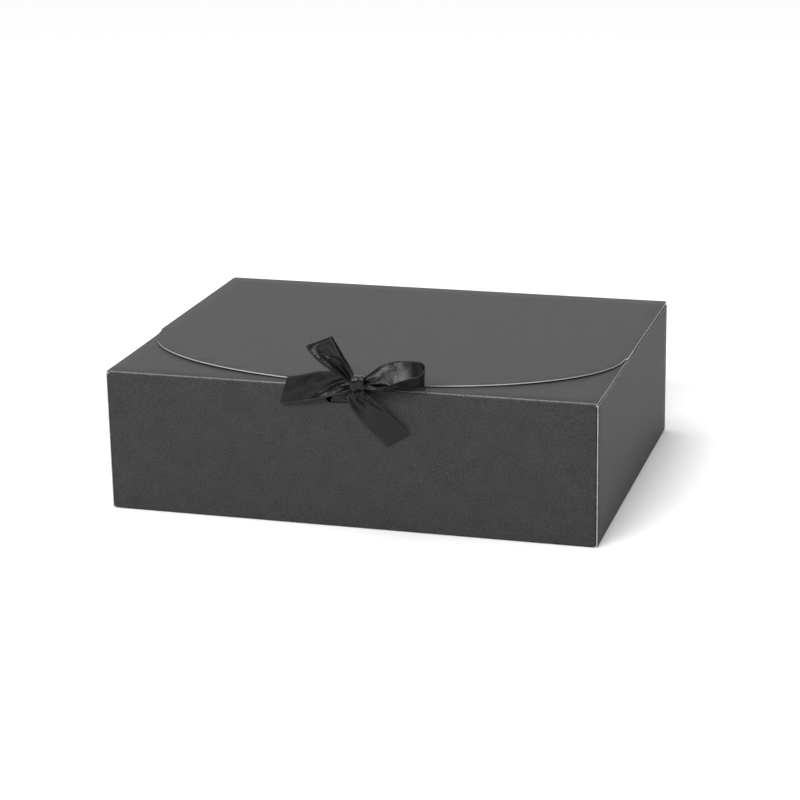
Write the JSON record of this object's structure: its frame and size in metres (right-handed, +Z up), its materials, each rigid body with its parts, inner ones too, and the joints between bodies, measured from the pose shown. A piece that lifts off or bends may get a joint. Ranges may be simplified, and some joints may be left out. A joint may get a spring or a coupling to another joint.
{
  "type": "gift box",
  "caption": "Flat rectangular folding gift box of black card with a curved-edge lid, closed by a satin ribbon tied in a bow",
  "frame": {"origin": "centre of the floor's underside, the face the box rests on", "axes": "+Z up, +X along the box's width to the right, -Y towards the front wall and the bow"},
  "size_m": [0.27, 0.2202, 0.1072],
  "materials": {
    "card": "matte",
    "card_crease": "matte",
    "ribbon": "satin"
  },
  "bodies": {
    "box": {"floor_panel": "card", "front_wall": "card", "back_wall": "card", "left_wall_outer": "card", "right_wall_outer": "card", "left_wall_spine": "card", "right_wall_spine": "card", "left_wall_inner": "card", "right_wall_inner": "card", "front_left_tab": "card", "front_right_tab": "card", "back_left_tab": "card", "back_right_tab": "card", "lid_crease": "card_crease", "flap_crease": "card_crease"},
    "lid": {"lid_panel": "card"},
    "flap": {"front_flap": "card"},
    "ribbon": {"ribbon_band": "ribbon", "ribbon_knot": "ribbon", "left_loop": "ribbon", "right_loop": "ribbon", "left_tail": "ribbon", "right_tail": "ribbon"}
  },
  "joints": [
    {"name": "lid_hinge", "type": "hinge", "parent": "box", "child": "lid", "pos_m": [0, 0.1017, 0.0787], "axis": [-1, 0, 0], "range_deg": [0, 180], "deforming": ["ribbon_band"]},
    {"name": "flap_hinge", "type": "hinge", "parent": "box", "child": "flap", "pos_m": [0, -0.1017, 0.0779], "axis": [1, 0, 0], "range_deg": [0, 90], "deforming": ["ribbon_band"]},
    {"name": "ribbon_release", "type": "slide", "parent": "box", "child": "ribbon", "axis": [0, -0.8, -0.6], "range_m": [0, 0.075], "deforming": ["ribbon_band"]}
  ],
  "couplings": [
    {"joint": "flap_hinge", "follows": "lid_hinge", "ratio": 0.5},
    {"joint": "ribbon_release", "follows": "lid_hinge", "m_per_rad": 0.02387}
  ]
}
